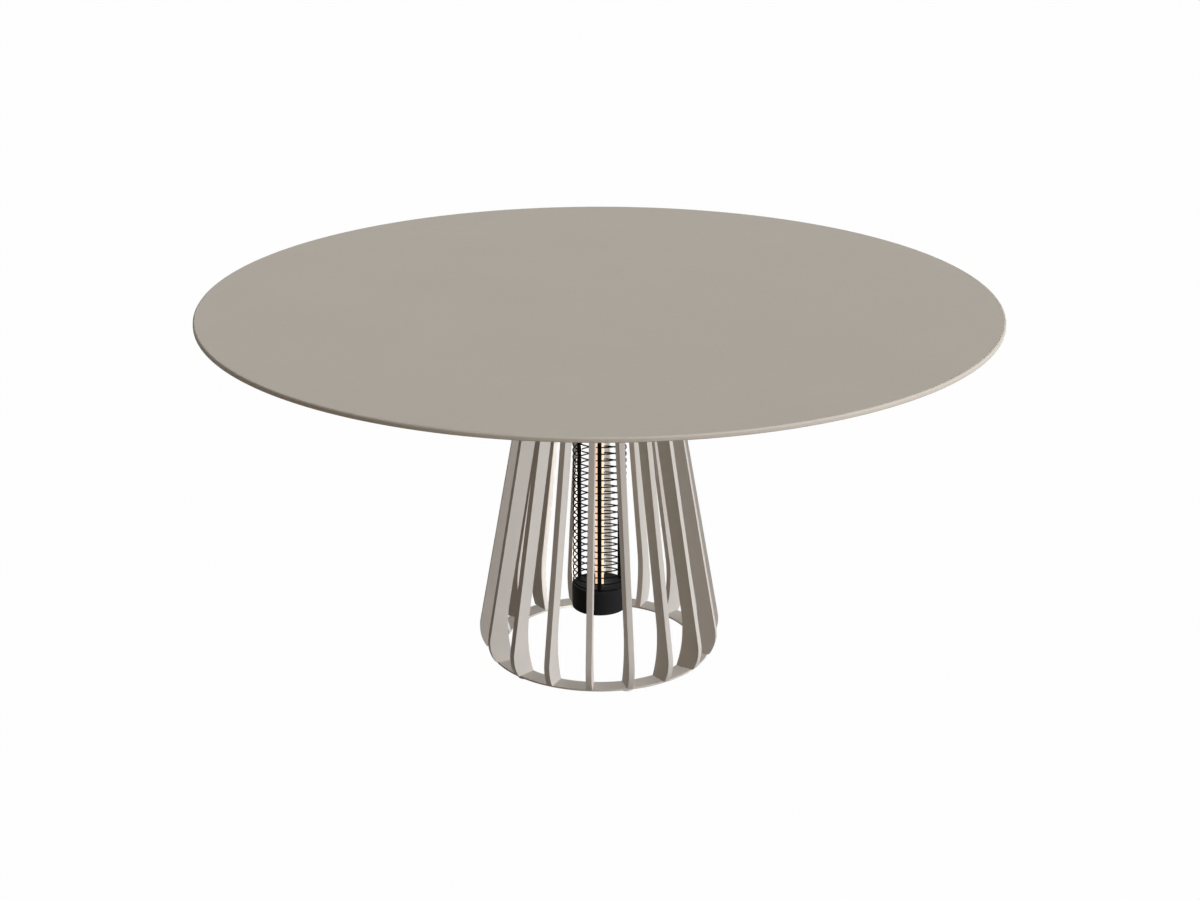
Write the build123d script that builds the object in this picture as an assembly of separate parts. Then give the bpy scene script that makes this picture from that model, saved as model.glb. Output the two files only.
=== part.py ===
from build123d import *
import math
import os

# Round outdoor dining table: a thin round top on a pedestal of upright fins,
# with an infrared tube heater hanging inside the pedestal.
# Millimetres, +Z up, origin on the floor under the middle of the top.
# The front of the table faces -Y. Angles are degrees from the front, towards +X.

# Overall
TABLE_HEIGHT = 750.0

# Tabletop, a solid disc with a rounded upper edge
TOP_DIAMETER = 1600.0
TOP_THICKNESS = 10.0
TOP_EDGE_RADIUS = 4.0
TOP_UNDER_CHAMFER = 2.5

# Hub plate and the flat arms welded round it, under the top
HUB_RADIUS = 172.0
HUB_THICKNESS = 6.0
ARM_COUNT = 6
ARM_PHASE = 5.0
ARM_REACH = 560.0
ARM_ROOT_WIDTH = 70.0
ARM_TIP_WIDTH = 44.0
ARM_TIP_ROUNDING = 11.0
WELD_GAP = 0.2

# Screws that hold the arms to the top
TOP_SCREW_DIAMETER = 6.0
TOP_SCREW_HEAD = 12.0
TOP_SCREW_HEAD_HEIGHT = 3.5
TOP_SCREW_BITE = 7.0
TOP_SCREW_INSET = 25.0

# Fins of the pedestal
FIN_COUNT = 18
FIN_PHASE = -5.0
FIN_THICKNESS = 12.0
FIN_WIDTH = 30.5
FIN_LEAN = 10.08
FIN_TOP_RADIUS = 130.8
FIN_OUTER_BEND = 67.0
FIN_INNER_BEND = 135.0
FIN_OVERHANG = 4.0
FIN_INSET = 0.5

# Floor ring
RING_OUTER_RADIUS = 233.0
RING_WIDTH = 37.0
RING_THICKNESS = 4.0

# Levelling feet, one under every third fin
FOOT_FIRST_FIN = 1
FOOT_STEP = 3
FOOT_PAD_DIAMETER = 30.0
FOOT_PAD_HEIGHT = 5.0
FOOT_PAD_CHAMFER = 1.2
FOOT_STEM_DIAMETER = 6.0
FOOT_STEM_LENGTH = 38.0
FOOT_STEM_SEAT = 3.0

# Heater, hung from the hub plate
HEATER_BOTTOM = 92.0
HEATER_RADIUS = 57.0
CAP_HEIGHT = 51.5
CAP_ROUNDING = 3.0
END_WALL = 9.0
HOUSING_HEIGHT = 110.0
HOUSING_WALL = 3.0
FLANGE_RADIUS = 80.0
FLANGE_THICKNESS = 4.0

# Screws that hold the heater's flange to the hub plate
FLANGE_SCREW_COUNT = 3
FLANGE_SCREW_PHASE = 65.0
FLANGE_SCREW_DIAMETER = 5.0
FLANGE_SCREW_HEAD = 9.0
FLANGE_SCREW_HEAD_HEIGHT = 3.0
FLANGE_SCREW_BITE = 5.0

# Guard: upright rods with one wire wound round them, its ends bent into the two caps
ROD_COUNT = 3
ROD_DIAMETER = 8.4
ROD_CIRCLE_RADIUS = 48.3
ROD_SEAT = 6.0
GUARD_WIRE = 2.7
GUARD_TURNS = 33
GUARD_START = 41.0
GUARD_BEND = 2.6
GUARD_SEAT = 3.0
GUARD_POINTS_PER_TURN = 24

# Lamp tube and glowing core
LAMP_DIAMETER = 22.0
LAMP_WALL = 1.2
LAMP_SEAT = 12.5
CORE_GAP = 1.0

# Ceramic lamp holders, and the plug that closes the lower cap
HOLDER_DIAMETER = 36.0
UPPER_HOLDER_HEIGHT = 36.0
PLUG_THICKNESS = 3.0

# Electrical parts of the upper housing
TERMINAL_LENGTH = 34.0
TERMINAL_WIDTH = 18.0
TERMINAL_HEIGHT = 18.0
TERMINAL_GAP = 5.0
GLAND_ANGLE = 185.0
GLAND_DROP = 40.0
GLAND_THREAD = 12.0
GLAND_BORE = 7.0
GLAND_HEX = 17.0
GLAND_HEX_THICKNESS = 5.0
GLAND_DOME_DIAMETER = 14.0
GLAND_DOME_LENGTH = 9.0
GLAND_NUT_THICKNESS = 4.0

# Clearances
THREAD_CLEARANCE = 0.05
HOLE_CLEARANCE = 0.4
SEAT_CLEARANCE = 0.2
GUARD_CLEARANCE = 0.1
STEM_END_ROOM = 1.0

# Heights that follow from the sizes above
TOP_UNDERSIDE = TABLE_HEIGHT - TOP_THICKNESS
HUB_UNDERSIDE = TOP_UNDERSIDE - HUB_THICKNESS
RING_TOP = FOOT_PAD_HEIGHT + RING_THICKNESS
FLANGE_UNDERSIDE = HUB_UNDERSIDE - FLANGE_THICKNESS
HOUSING_BOTTOM = FLANGE_UNDERSIDE - HOUSING_HEIGHT
HOUSING_FLOOR = HOUSING_BOTTOM + END_WALL
CAP_TOP = HEATER_BOTTOM + CAP_HEIGHT
CAP_CEILING = CAP_TOP - END_WALL
LAMP_BOTTOM = CAP_CEILING - LAMP_SEAT
LAMP_TOP = HOUSING_FLOOR + LAMP_SEAT
GLAND_HEIGHT = FLANGE_UNDERSIDE - GLAND_DROP

# Radii that follow from the sizes above
RING_INNER_RADIUS = RING_OUTER_RADIUS - RING_WIDTH
TOP_SCREW_RADIUS = ARM_REACH - TOP_SCREW_INSET
FOOT_RADIUS = (RING_OUTER_RADIUS + RING_INNER_RADIUS) / 2
FLANGE_SCREW_RADIUS = (HEATER_RADIUS + FLANGE_RADIUS) / 2
HOUSING_BORE = HEATER_RADIUS - HOUSING_WALL

# The guard wire is drawn square, with the section area of the round wire
GUARD_SIDE = GUARD_WIRE * math.sqrt(math.pi) / 2
GUARD_CORNER = GUARD_SIDE / math.sqrt(2)
GUARD_RADIUS = ROD_CIRCLE_RADIUS + ROD_DIAMETER / 2 + GUARD_CLEARANCE + GUARD_CORNER
GUARD_LOW_END = CAP_TOP - GUARD_SEAT
GUARD_HIGH_END = HOUSING_BOTTOM + GUARD_SEAT
GUARD_LOW = GUARD_LOW_END + GUARD_WIRE + GUARD_BEND
GUARD_HIGH = GUARD_HIGH_END - GUARD_WIRE - GUARD_BEND
GUARD_PITCH = (GUARD_HIGH - GUARD_LOW) / GUARD_TURNS
GUARD_RISE = math.atan2(GUARD_PITCH, 2 * math.pi * GUARD_RADIUS)
GUARD_END_OFFSET = GUARD_BEND * (1 - math.sin(GUARD_RISE))


def from_front(shape, angle):
    """Turn a shape drawn along +X to an angle counted from the front."""
    return Rot(0, 0, angle - 90) * shape


def around(shape, count, phase):
    """Copies of a shape drawn along +X, evenly spaced round the axis."""
    return [from_front(shape, phase + 360 / count * index) for index in range(count)]


def disc(radius, low, high):
    """An upright cylinder on the axis, between two heights."""
    return Pos(0, 0, low) * Cylinder(radius, high - low, align=(Align.CENTER, Align.CENTER, Align.MIN))


def pin(radius, offset, low, high):
    """An upright cylinder between two heights, at an offset along +X."""
    return Pos(offset, 0, 0) * disc(radius, low, high)


def bar_out(radius, start, end):
    """A level cylinder along +X at the gland's height, between two distances from the axis."""
    align = (Align.CENTER, Align.CENTER, Align.MIN)
    return Pos(start, 0, GLAND_HEIGHT) * Rot(0, 90, 0) * Cylinder(radius, end - start, align=align)


def hex_out(flats, start, end):
    """A level hexagon bar along +X at the gland's height, between two distances from the axis."""
    face = RegularPolygon(flats / 2, 6, major_radius=False)
    return Pos(start, 0, GLAND_HEIGHT) * Rot(0, 90, 0) * extrude(face, end - start)


def tube(outer, inner, low, high):
    """An upright tube on the axis."""
    return disc(outer, low, high) - disc(inner, low, high)


def screw_up(diameter, head, head_height, offset, seat, tip):
    """A screw driven upwards: its head hangs below the seat and its shank ends at the tip."""
    return pin(head / 2, offset, seat - head_height, seat) + pin(diameter / 2, offset, seat, tip)


def circles(shape):
    """A shape's round edges, from the lowest to the highest."""
    return shape.edges().filter_by(GeomType.CIRCLE).sort_by(Axis.Z)


def make_tabletop():
    """The round top, rounded above and bevelled below, with blind holes for the arm screws."""
    top = disc(TOP_DIAMETER / 2, TOP_UNDERSIDE, TABLE_HEIGHT)
    top = fillet(circles(top)[-1], TOP_EDGE_RADIUS)
    top = chamfer(circles(top)[0], TOP_UNDER_CHAMFER)
    radius = TOP_SCREW_DIAMETER / 2 + THREAD_CLEARANCE
    hole = pin(radius, TOP_SCREW_RADIUS, TOP_UNDERSIDE, TOP_UNDERSIDE + TOP_SCREW_BITE)
    return top - around(hole, ARM_COUNT, ARM_PHASE)


def make_hub_plate():
    """The plate that ties the fin tops together and carries the heater."""
    plate = disc(HUB_RADIUS, HUB_UNDERSIDE, TOP_UNDERSIDE)
    radius = FLANGE_SCREW_DIAMETER / 2 + THREAD_CLEARANCE
    hole = pin(radius, FLANGE_SCREW_RADIUS, HUB_UNDERSIDE, HUB_UNDERSIDE + FLANGE_SCREW_BITE)
    return plate - around(hole, FLANGE_SCREW_COUNT, FLANGE_SCREW_PHASE)


def make_arm():
    """A flat arm along +X that narrows from the hub plate to its rounded tip."""
    root = ARM_ROOT_WIDTH / 2
    tip = ARM_TIP_WIDTH / 2
    outline = Polyline((0, -root), (ARM_REACH, -tip), (ARM_REACH, tip), (0, root), close=True)
    bar = Pos(0, 0, HUB_UNDERSIDE) * extrude(make_face(outline), HUB_THICKNESS)
    bar = fillet(bar.edges().filter_by(Axis.Z).sort_by(Axis.X)[-2:], ARM_TIP_ROUNDING)
    bar -= disc(HUB_RADIUS + WELD_GAP, HUB_UNDERSIDE, TOP_UNDERSIDE)
    radius = TOP_SCREW_DIAMETER / 2 + HOLE_CLEARANCE
    return bar - pin(radius, TOP_SCREW_RADIUS, HUB_UNDERSIDE, TOP_UNDERSIDE)


def make_top_screws():
    """The screws that pull the top down on to the arms."""
    tip = TOP_UNDERSIDE + TOP_SCREW_BITE
    screw = screw_up(
        TOP_SCREW_DIAMETER, TOP_SCREW_HEAD, TOP_SCREW_HEAD_HEIGHT, TOP_SCREW_RADIUS, HUB_UNDERSIDE, tip
    )
    return Compound(around(screw, ARM_COUNT, ARM_PHASE))


def fin_edge(top_radius, height):
    """A point at a height on a straight fin edge that leans out from its radius at the top."""
    return (top_radius + (HUB_UNDERSIDE - height) * math.tan(math.radians(FIN_LEAN)), height)


def fin_angle(index):
    """A fin's angle from the front."""
    return FIN_PHASE + 360 / FIN_COUNT * index


def foot_fins():
    """The indices of the fins that stand over a foot."""
    return range(FOOT_FIRST_FIN, FIN_COUNT, FOOT_STEP)


def make_fin(over_foot):
    """A fin along +X: a straight leaning blade that bends in to stand on the floor ring."""
    lean = math.radians(FIN_LEAN)
    down = (math.sin(lean), -math.cos(lean))
    inner_radius = FIN_TOP_RADIUS - FIN_WIDTH / math.cos(lean)
    outer_top = fin_edge(FIN_TOP_RADIUS, HUB_UNDERSIDE)
    outer_bend = fin_edge(FIN_TOP_RADIUS, FIN_OUTER_BEND)
    outer_foot = (RING_OUTER_RADIUS + FIN_OVERHANG, RING_TOP)
    inner_foot = (RING_INNER_RADIUS + FIN_INSET, RING_TOP)
    inner_bend = fin_edge(inner_radius, FIN_INNER_BEND)
    inner_top = fin_edge(inner_radius, HUB_UNDERSIDE)
    outline = [
        Line(outer_top, outer_bend),
        TangentArc(outer_bend, outer_foot, tangent=down),
        Line(outer_foot, inner_foot),
        TangentArc(inner_bend, inner_foot, tangent=down),
        Line(inner_bend, inner_top),
        Line(inner_top, outer_top),
    ]
    fin = extrude(Plane.XZ * make_face(outline), FIN_THICKNESS / 2, both=True)
    if over_foot:
        hole_top = FOOT_PAD_HEIGHT + FOOT_STEM_LENGTH + STEM_END_ROOM
        fin -= pin(FOOT_STEM_DIAMETER / 2 + THREAD_CLEARANCE, FOOT_RADIUS, RING_TOP, hole_top)
    return fin


def make_base_ring():
    """The flat floor ring under the fins, pierced where the foot stems pass."""
    ring = tube(RING_OUTER_RADIUS, RING_INNER_RADIUS, FOOT_PAD_HEIGHT, RING_TOP)
    hole = pin(FOOT_STEM_DIAMETER / 2 + HOLE_CLEARANCE, FOOT_RADIUS, FOOT_PAD_HEIGHT, RING_TOP)
    return ring - [from_front(hole, fin_angle(index)) for index in foot_fins()]


def make_foot_pad():
    """A round glide with a blind seat for its stem."""
    pad = pin(FOOT_PAD_DIAMETER / 2, FOOT_RADIUS, 0, FOOT_PAD_HEIGHT)
    pad = chamfer(circles(pad)[0], FOOT_PAD_CHAMFER)
    seat_floor = FOOT_PAD_HEIGHT - FOOT_STEM_SEAT
    return pad - pin(FOOT_STEM_DIAMETER / 2 + THREAD_CLEARANCE, FOOT_RADIUS, seat_floor, FOOT_PAD_HEIGHT)


def make_foot_stem():
    """The stem that screws through the ring into a fin."""
    low = FOOT_PAD_HEIGHT - FOOT_STEM_SEAT
    return pin(FOOT_STEM_DIAMETER / 2, FOOT_RADIUS, low, FOOT_PAD_HEIGHT + FOOT_STEM_LENGTH)


def end_seats(face, inwards, guard_side):
    """What is cut into a cap's face for the lamp, the rods and the bent end of the guard wire.

    inwards is 1 where the cap lies above the face and -1 where it lies below.
    """
    def depth(amount):
        return sorted((face, face + inwards * amount))
    lamp = disc(LAMP_DIAMETER / 2 + SEAT_CLEARANCE, *depth(END_WALL))
    rod = pin(ROD_DIAMETER / 2 + SEAT_CLEARANCE, ROD_CIRCLE_RADIUS, *depth(ROD_SEAT))
    wire = pin(GUARD_CORNER + SEAT_CLEARANCE, GUARD_RADIUS, *depth(GUARD_SEAT))
    wire = from_front(Pos(0, guard_side * GUARD_END_OFFSET, 0) * wire, GUARD_START)
    return [lamp, wire] + around(rod, ROD_COUNT, 0)


def make_lower_cap():
    """The lower cap: a turned block with seats in its top and a pocket below."""
    cap = disc(HEATER_RADIUS, HEATER_BOTTOM, CAP_TOP)
    cap = fillet(circles(cap), CAP_ROUNDING)
    cap -= disc(HOLDER_DIAMETER / 2 + SEAT_CLEARANCE, HEATER_BOTTOM, CAP_CEILING)
    return cap - end_seats(CAP_TOP, -1, 1)


def make_housing():
    """The upper housing: a cup with an out-turned flange that is screwed to the hub plate."""
    cup = disc(HEATER_RADIUS, HOUSING_BOTTOM, FLANGE_UNDERSIDE)
    cup = fillet(circles(cup)[0], CAP_ROUNDING)
    cup += disc(FLANGE_RADIUS, FLANGE_UNDERSIDE, HUB_UNDERSIDE)
    cup -= disc(HOUSING_BORE, HOUSING_FLOOR, HUB_UNDERSIDE)
    cup -= end_seats(HOUSING_BOTTOM, 1, -1)
    radius = FLANGE_SCREW_DIAMETER / 2 + HOLE_CLEARANCE
    hole = pin(radius, FLANGE_SCREW_RADIUS, FLANGE_UNDERSIDE, HUB_UNDERSIDE)
    cup -= around(hole, FLANGE_SCREW_COUNT, FLANGE_SCREW_PHASE)
    inlet = bar_out(GLAND_THREAD / 2 + SEAT_CLEARANCE, HOUSING_BORE - HOUSING_WALL, HEATER_RADIUS)
    return cup - from_front(inlet, GLAND_ANGLE)


def make_flange_screws():
    """The screws that hold the heater's flange up to the hub plate."""
    tip = HUB_UNDERSIDE + FLANGE_SCREW_BITE
    screw = screw_up(
        FLANGE_SCREW_DIAMETER,
        FLANGE_SCREW_HEAD,
        FLANGE_SCREW_HEAD_HEIGHT,
        FLANGE_SCREW_RADIUS,
        FLANGE_UNDERSIDE,
        tip,
    )
    return Compound(around(screw, FLANGE_SCREW_COUNT, FLANGE_SCREW_PHASE))


def make_guard_rods():
    """The upright rods that join the two caps."""
    rod = pin(ROD_DIAMETER / 2, ROD_CIRCLE_RADIUS, CAP_TOP - ROD_SEAT, HOUSING_BOTTOM + ROD_SEAT)
    return Compound(around(rod, ROD_COUNT, 0))


def guard_angle(turn):
    """The guard wire's angle about the axis, in radians: it climbs clockwise, seen from above."""
    return math.radians(GUARD_START - 90) - 2 * math.pi * turn


def guard_point(turn):
    """A point on the guard wire's winding."""
    angle = guard_angle(turn)
    height = GUARD_LOW + GUARD_PITCH * turn
    return Vector(GUARD_RADIUS * math.cos(angle), GUARD_RADIUS * math.sin(angle), height)


def guard_heading(turn, rise):
    """The direction in which the guard wire runs, at a rise above the level."""
    angle = guard_angle(turn)
    level = Vector(math.sin(angle), -math.cos(angle), 0)
    return level * math.cos(rise) + Vector(0, 0, math.sin(rise))


def biarc(start, start_heading, end, end_heading):
    """Two tangent arcs from one point and heading to another."""
    chord = end - start
    both = start_heading + end_heading
    square = both.dot(both) - 4
    along = chord.dot(both)
    reach = (along - math.sqrt(along * along - square * chord.dot(chord))) / square
    before = start + start_heading * reach
    after = end - end_heading * reach
    middle = (before + after) * 0.5
    first = TangentArc(start, middle, tangent=start_heading)
    second = TangentArc(middle, end, tangent=(after - before).normalized())
    return [first, second]


def guard_end(turn, upwards):
    """The bend at one end of the winding and the straight end that stands in its cap."""
    up = Vector(0, 0, 1)
    level = guard_heading(turn, 0)
    bend = level * GUARD_END_OFFSET + up * (GUARD_BEND * math.cos(GUARD_RISE))
    point = guard_point(turn)
    if upwards:
        corner = point + bend
        tip = Vector(corner.X, corner.Y, GUARD_HIGH_END)
        return [TangentArc(point, corner, tangent=guard_heading(turn, GUARD_RISE)), Line(corner, tip)]
    corner = point - bend
    tip = Vector(corner.X, corner.Y, GUARD_LOW_END)
    return [Line(tip, corner), TangentArc(corner, point, tangent=up)]


def guard_gap():
    """The least gap between two turns of the guard wire, measured on points along it."""
    count = GUARD_TURNS * GUARD_POINTS_PER_TURN
    points = [guard_point(index / GUARD_POINTS_PER_TURN) for index in range(count + 1)]
    apart = GUARD_POINTS_PER_TURN // 2
    gaps = [
        (points[first] - points[second]).length
        for first in range(count + 1)
        for second in range(first + apart, min(first + 3 * apart, count + 1))
    ]
    return min(gaps) - 2 * GUARD_CORNER


def guard_path():
    """The guard wire's line: a bent end, two arcs to each half turn, and a bent end."""
    path = guard_end(0, False)
    for half in range(2 * GUARD_TURNS):
        turn = half / 2
        path += biarc(
            guard_point(turn),
            guard_heading(turn, GUARD_RISE),
            guard_point(turn + 0.5),
            guard_heading(turn + 0.5, GUARD_RISE),
        )
    return path + guard_end(GUARD_TURNS, True)


def make_guard_wire():
    """The guard wire: one unbroken winding with a bent end at each cap."""
    path = guard_path()
    section = Plane(path[0] @ 0, x_dir=guard_heading(0, 0)) * Rectangle(GUARD_SIDE, GUARD_SIDE)
    return sweep(section, path=Wire(path), clean=False)


def make_lamp_tube():
    """The clear tube of the lamp."""
    outer = LAMP_DIAMETER / 2
    return tube(outer, outer - LAMP_WALL, LAMP_BOTTOM, LAMP_TOP)


def make_heating_core():
    """The glowing core inside the lamp."""
    return disc(LAMP_DIAMETER / 2 - LAMP_WALL - CORE_GAP, LAMP_BOTTOM, LAMP_TOP)


def make_lower_holder():
    """The ceramic holder of the lamp's lower end."""
    block = disc(HOLDER_DIAMETER / 2, HEATER_BOTTOM + PLUG_THICKNESS, CAP_CEILING)
    return block - disc(LAMP_DIAMETER / 2 + SEAT_CLEARANCE, LAMP_BOTTOM, CAP_CEILING)


def make_upper_holder():
    """The ceramic holder of the lamp's upper end."""
    block = disc(HOLDER_DIAMETER / 2, HOUSING_FLOOR, HOUSING_FLOOR + UPPER_HOLDER_HEIGHT)
    return block - disc(LAMP_DIAMETER / 2 + SEAT_CLEARANCE, HOUSING_FLOOR, LAMP_TOP)


def make_lower_plug():
    """The plug that closes the lower cap's pocket."""
    return disc(HOLDER_DIAMETER / 2, HEATER_BOTTOM, HEATER_BOTTOM + PLUG_THICKNESS)


def make_terminal_block():
    """The terminal block on the housing's floor."""
    align = (Align.MIN, Align.CENTER, Align.MIN)
    block = Box(TERMINAL_WIDTH, TERMINAL_LENGTH, TERMINAL_HEIGHT, align=align)
    block = Pos(HOLDER_DIAMETER / 2 + TERMINAL_GAP, 0, HOUSING_FLOOR) * block
    return from_front(block, GLAND_ANGLE)


def gland_nut_face():
    """How far from the axis the flat face of the gland's nut meets the round wall inside."""
    corner = GLAND_HEX / math.sqrt(3)
    return math.sqrt(HOUSING_BORE**2 - corner**2)


def make_cable_gland():
    """The cable gland in the housing's side: a hexagon, a domed cap and a threaded tail."""
    hexagon_end = HEATER_RADIUS + GLAND_HEX_THICKNESS
    dome_end = hexagon_end + GLAND_DOME_LENGTH
    tail_end = gland_nut_face() - GLAND_NUT_THICKNESS
    gland = bar_out(GLAND_THREAD / 2, tail_end, HEATER_RADIUS)
    gland += hex_out(GLAND_HEX, HEATER_RADIUS, hexagon_end)
    gland += bar_out(GLAND_DOME_DIAMETER / 2, hexagon_end, dome_end)
    gland = chamfer(gland.edges().filter_by(GeomType.CIRCLE).sort_by(Axis.X)[-1], GLAND_DOME_LENGTH / 4)
    gland -= bar_out(GLAND_BORE / 2, tail_end, dome_end)
    return from_front(gland, GLAND_ANGLE)


def make_gland_nut():
    """The nut that clamps the gland from inside the housing."""
    high = gland_nut_face()
    low = high - GLAND_NUT_THICKNESS
    nut = hex_out(GLAND_HEX, low, high) - bar_out(GLAND_THREAD / 2 + THREAD_CLEARANCE, low, high)
    return from_front(nut, GLAND_ANGLE)


def make_parts():
    """Every piece of the table by its name, in place."""
    parts = {
        "tabletop": make_tabletop(),
        "top_screws": make_top_screws(),
        "hub_plate": make_hub_plate(),
        "base_ring": make_base_ring(),
        "heater_housing": make_housing(),
        "heater_screws": make_flange_screws(),
        "guard_rods": make_guard_rods(),
        "guard_wire": make_guard_wire(),
        "lamp_tube": make_lamp_tube(),
        "heating_core": make_heating_core(),
        "upper_lamp_holder": make_upper_holder(),
        "lower_lamp_holder": make_lower_holder(),
        "lower_cap": make_lower_cap(),
        "lower_plug": make_lower_plug(),
        "terminal_block": make_terminal_block(),
        "cable_gland": make_cable_gland(),
        "gland_nut": make_gland_nut(),
    }
    for number, arm in enumerate(around(make_arm(), ARM_COUNT, ARM_PHASE), start=1):
        parts[f"support_arm_{number}"] = arm
    for index in range(FIN_COUNT):
        parts[f"fin_{index + 1:02d}"] = from_front(make_fin(index in foot_fins()), fin_angle(index))
    for number, index in enumerate(foot_fins(), start=1):
        parts[f"foot_pad_{number}"] = from_front(make_foot_pad(), fin_angle(index))
        parts[f"foot_stem_{number}"] = from_front(make_foot_stem(), fin_angle(index))
    return parts


def main():
    """Build every piece and write it to its own file."""
    os.makedirs("parts", exist_ok=True)
    for name, shape in make_parts().items():
        export_step(shape, f"parts/{name}.step")
    print(f"guard wire: pitch {GUARD_PITCH:.2f} mm, least gap between turns {guard_gap():.2f} mm")


main()
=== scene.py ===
import logging
import math
from dataclasses import dataclass, field
from enum import Enum
from typing import Callable, Sequence

import bmesh
import bpy
from bpy.types import Light, Material, Modifier, Node, NodeSocket, NodeTree, Object
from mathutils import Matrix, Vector


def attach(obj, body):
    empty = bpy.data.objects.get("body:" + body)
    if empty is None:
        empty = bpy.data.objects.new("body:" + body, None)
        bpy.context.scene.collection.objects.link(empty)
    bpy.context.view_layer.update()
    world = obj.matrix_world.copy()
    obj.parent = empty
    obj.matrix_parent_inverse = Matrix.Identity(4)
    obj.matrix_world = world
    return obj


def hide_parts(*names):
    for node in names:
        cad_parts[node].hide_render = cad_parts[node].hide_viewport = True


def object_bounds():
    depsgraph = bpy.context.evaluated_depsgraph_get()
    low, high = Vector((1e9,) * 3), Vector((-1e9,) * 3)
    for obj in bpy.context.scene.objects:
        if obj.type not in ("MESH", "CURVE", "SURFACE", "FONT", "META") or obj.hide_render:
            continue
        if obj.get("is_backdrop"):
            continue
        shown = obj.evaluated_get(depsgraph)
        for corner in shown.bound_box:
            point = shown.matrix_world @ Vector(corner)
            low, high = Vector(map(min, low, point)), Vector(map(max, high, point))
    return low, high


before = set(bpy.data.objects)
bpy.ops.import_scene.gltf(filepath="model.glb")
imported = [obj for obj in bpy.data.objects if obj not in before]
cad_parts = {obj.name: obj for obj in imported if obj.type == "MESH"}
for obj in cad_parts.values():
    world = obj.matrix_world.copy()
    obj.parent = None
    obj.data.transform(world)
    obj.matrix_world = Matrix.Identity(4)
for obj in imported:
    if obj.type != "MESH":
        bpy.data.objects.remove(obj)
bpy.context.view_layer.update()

# The looks of a round outdoor dining table: a thin round top on a pedestal of leaning fins,
# with an infrared tube heater hanging among the fins. Metres, +Z up, the front faces -Y.
# Angles are degrees from the front towards +X, and a turn is radians about Z.

LOG = logging.getLogger("table")

Point = tuple[float, float, float]
Colour = tuple[float, float, float]
Range = tuple[float, float]
Profile = Sequence[tuple[float, float]]
Value = float | tuple[float, ...]

# The body that carries everything but the feet.
TABLE = "table"

# Heights and radii at which one sub-assembly meets another.
TOP_UNDERSIDE = 0.740
HUB_UNDERSIDE = 0.734
FLANGE_UNDERSIDE = 0.730
HOUSING_BOTTOM = 0.620
CAP_TOP = 0.1435
RING_TOP = 0.009
RING_UNDERSIDE = 0.005
FOOT_CIRCLE = 0.2145
HEATER_RADIUS = 0.057
HEATER_END_WALL = 0.009

# The fins, and those of them that stand over a foot.
FIN_COUNT = 18
FIN_PHASE = -5.0
FOOTED_FINS = range(1, FIN_COUNT, 3)

# Points closer than this are one point, or lie on the edge that is looked for.
MERGE_DISTANCE = 1e-6
PICK_DISTANCE = 1e-5
# How far a cutter stands out of what it cuts, and the turns of a winding that are cut off.
CUT_MARGIN = 0.001
SPARE_TURNS = 2

# The range in which nearly all of a cloud pattern lies.
PATTERN_MIDDLE = (0.3, 0.7)
WHITE = (1.0, 1.0, 1.0, 1.0)


class Pick(Enum):
    """What is picked in edit mode."""

    VERTEX = "VERT"
    EDGE = "EDGE"
    FACE = "FACE"


class Sense(Enum):
    """A way along the Z axis."""

    UP = 1
    DOWN = -1


class Blend(Enum):
    """How one range of numbers is spread over another."""

    EVEN = "LINEAR"
    SMOOTH = "SMOOTHSTEP"


def heading(angle: float) -> float:
    """The turn that brings +X to an angle."""
    return math.radians(angle - 90)


def spread(radius: float, angle: float, height: float) -> Point:
    """A point at a radius, an angle and a height."""
    turn = heading(angle)
    return (radius * math.cos(turn), radius * math.sin(turn), height)


def around(count: int, phase: float = 0.0) -> list[float]:
    """Evenly spaced angles all the way round, the first of them at a phase."""
    return [phase + 360 / count * index for index in range(count)]


def clear_selection() -> None:
    """Leave nothing selected."""
    bpy.ops.object.select_all(action="DESELECT")


def take(piece: Object) -> None:
    """Select one piece alone and make it the active one.

    Args:
        piece: The piece to work on.
    """
    clear_selection()
    piece.select_set(True)
    bpy.context.view_layer.objects.active = piece


def settle(piece: Object) -> None:
    """Put a piece's place, turn and scale into its mesh, so that its object sits at the origin."""
    take(piece)
    bpy.ops.object.transform_apply(location=True, rotation=True, scale=True)


def discard(*pieces: Object) -> None:
    """Delete pieces that have served their turn."""
    for piece in pieces:
        bpy.data.meshes.remove(piece.data)


def edit(piece: Object) -> None:
    """Open a piece in edit mode with all of it selected.

    Args:
        piece: The piece to open.
    """
    take(piece)
    bpy.ops.object.mode_set(mode="EDIT")
    bpy.ops.mesh.select_mode(type=Pick.VERTEX.value)
    bpy.ops.mesh.select_all(action="SELECT")


def close_edit() -> None:
    """Merge doubled points, turn all faces outwards and leave edit mode."""
    bpy.ops.mesh.select_all(action="SELECT")
    bpy.ops.mesh.remove_doubles(threshold=MERGE_DISTANCE)
    bpy.ops.mesh.normals_make_consistent(inside=False)
    bpy.ops.object.mode_set(mode="OBJECT")


def pick(piece: Object, kind: Pick, test: Callable[[Vector], bool]) -> None:
    """Select, in edit mode, what has all of its points where a test says.

    Args:
        piece: The piece that is open in edit mode.
        kind: Whether vertices, edges or faces are picked.
        test: Says whether a point counts.
    """
    bpy.ops.mesh.select_mode(type=kind.value)
    bpy.ops.mesh.select_all(action="DESELECT")
    shape = bmesh.from_edit_mesh(piece.data)
    groups = {Pick.VERTEX: shape.verts, Pick.EDGE: shape.edges, Pick.FACE: shape.faces}
    for item in groups[kind]:
        points = [item] if kind is Pick.VERTEX else item.verts
        if all(test(point.co) for point in points):
            item.select_set(True)
    bmesh.update_edit_mesh(piece.data)


def extrude(shift: Point) -> None:
    """Extrude what is selected by a shift."""
    bpy.ops.mesh.extrude_region_move(TRANSFORM_OT_translate={"value": shift})


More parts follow.
